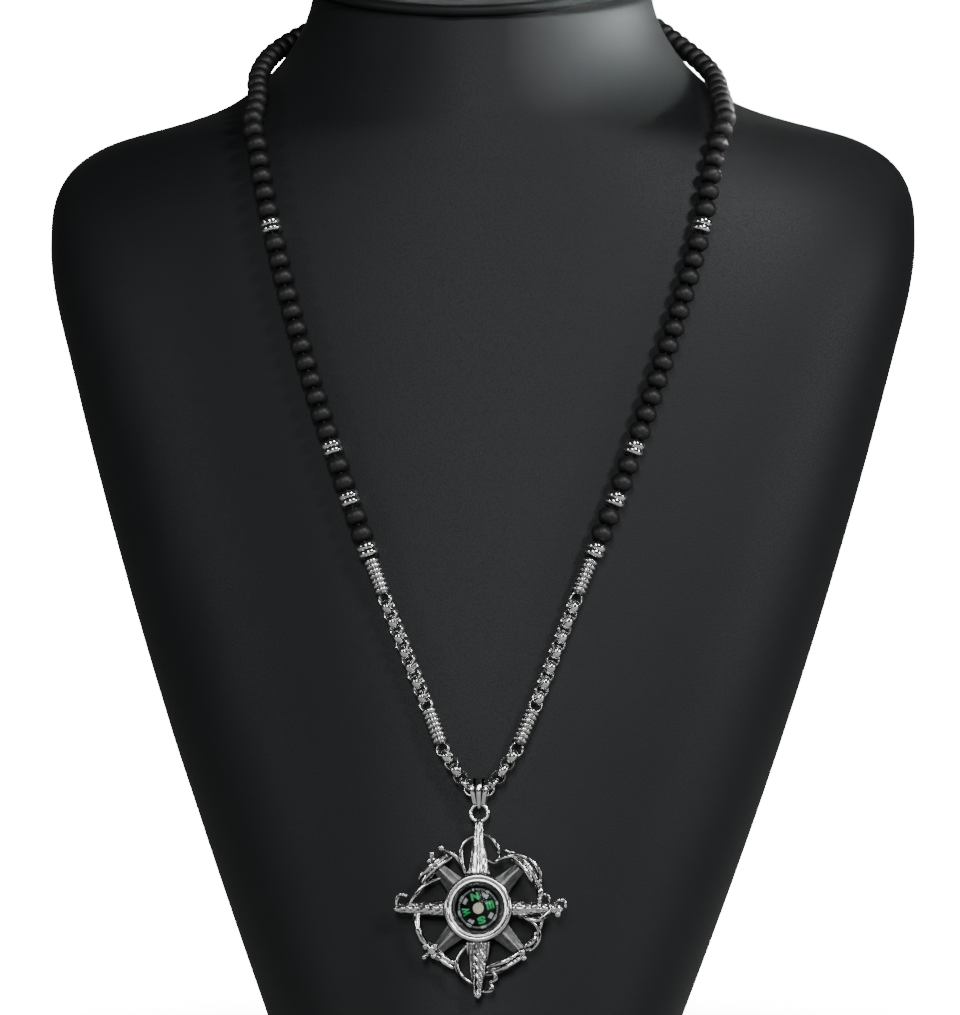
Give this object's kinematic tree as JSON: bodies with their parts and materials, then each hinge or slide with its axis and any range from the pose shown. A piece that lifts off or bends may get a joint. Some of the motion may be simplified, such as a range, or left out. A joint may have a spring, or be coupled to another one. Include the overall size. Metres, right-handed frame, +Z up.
{
  "type": "compass pendant on a beaded necklace, laid on a neck bust",
  "caption": "Steel pendant with a working compass in a twig wreath, hanging from a chain and bead necklace laid on a black neck bust.",
  "frame": {"origin": "middle of the bust's flat foot, on the surface that it stands on", "axes": "+Z up, the bust's front and the compass dial face -Y, +X to the viewer's right"},
  "size_m": [0.246, 0.15, 0.3218],
  "materials": {
    "bust_cover": "fine-grained black leatherette",
    "cap_cover": "fine-grained black leatherette",
    "black_bead": "matte",
    "thread": "waxed cord",
    "polished_steel": "polished",
    "antiqued_steel": "polished with blackened recesses",
    "capsule_black": "satin",
    "card_black": "printed",
    "cap_cream": "gloss",
    "glass": "clear"
  },
  "bodies": {
    "bust_and_string": {"neck_bust": "bust_cover", "neck_cap": "cap_cover", "bead_thread": "thread", "nape_clasp": "polished_steel", "black_beads_left": "black_bead", "black_beads_right": "black_bead", "steel_beads_left": "polished_steel", "steel_beads_right": "polished_steel", "upper_bar_left": "polished_steel", "upper_bar_right": "polished_steel", "lower_bar_left": "polished_steel", "lower_bar_right": "polished_steel", "chain_left": "polished_steel", "chain_right": "polished_steel", "chain_centre": "polished_steel"},
    "hanger": {"bail": "antiqued_steel"},
    "pendant": {"pendant_frame": "antiqued_steel", "compass_case": "polished_steel", "compass_capsule": "capsule_black", "crystal": "glass"},
    "card": {"compass_card": "card_black", "card_cap": "cap_cream"}
  },
  "joints": [
    {"name": "bail_swing", "type": "hinge", "parent": "bust_and_string", "child": "hanger", "pos_m": [0.004, -0.04523, 0.07913], "axis": [-1, 0, 0], "range_deg": [0, 60]},
    {"name": "pendant_sway", "type": "hinge", "parent": "hanger", "child": "pendant", "pos_m": [0.004, -0.04606, 0.07447], "axis": [0, 0.9848, -0.1736], "range_deg": [-20, 20]},
    {"name": "compass_spin", "type": "hinge", "parent": "pendant", "child": "card", "pos_m": [0.004, -0.05067, 0.0483], "axis": [0, -0.9848, 0.1736], "continuous": true}
  ]
}
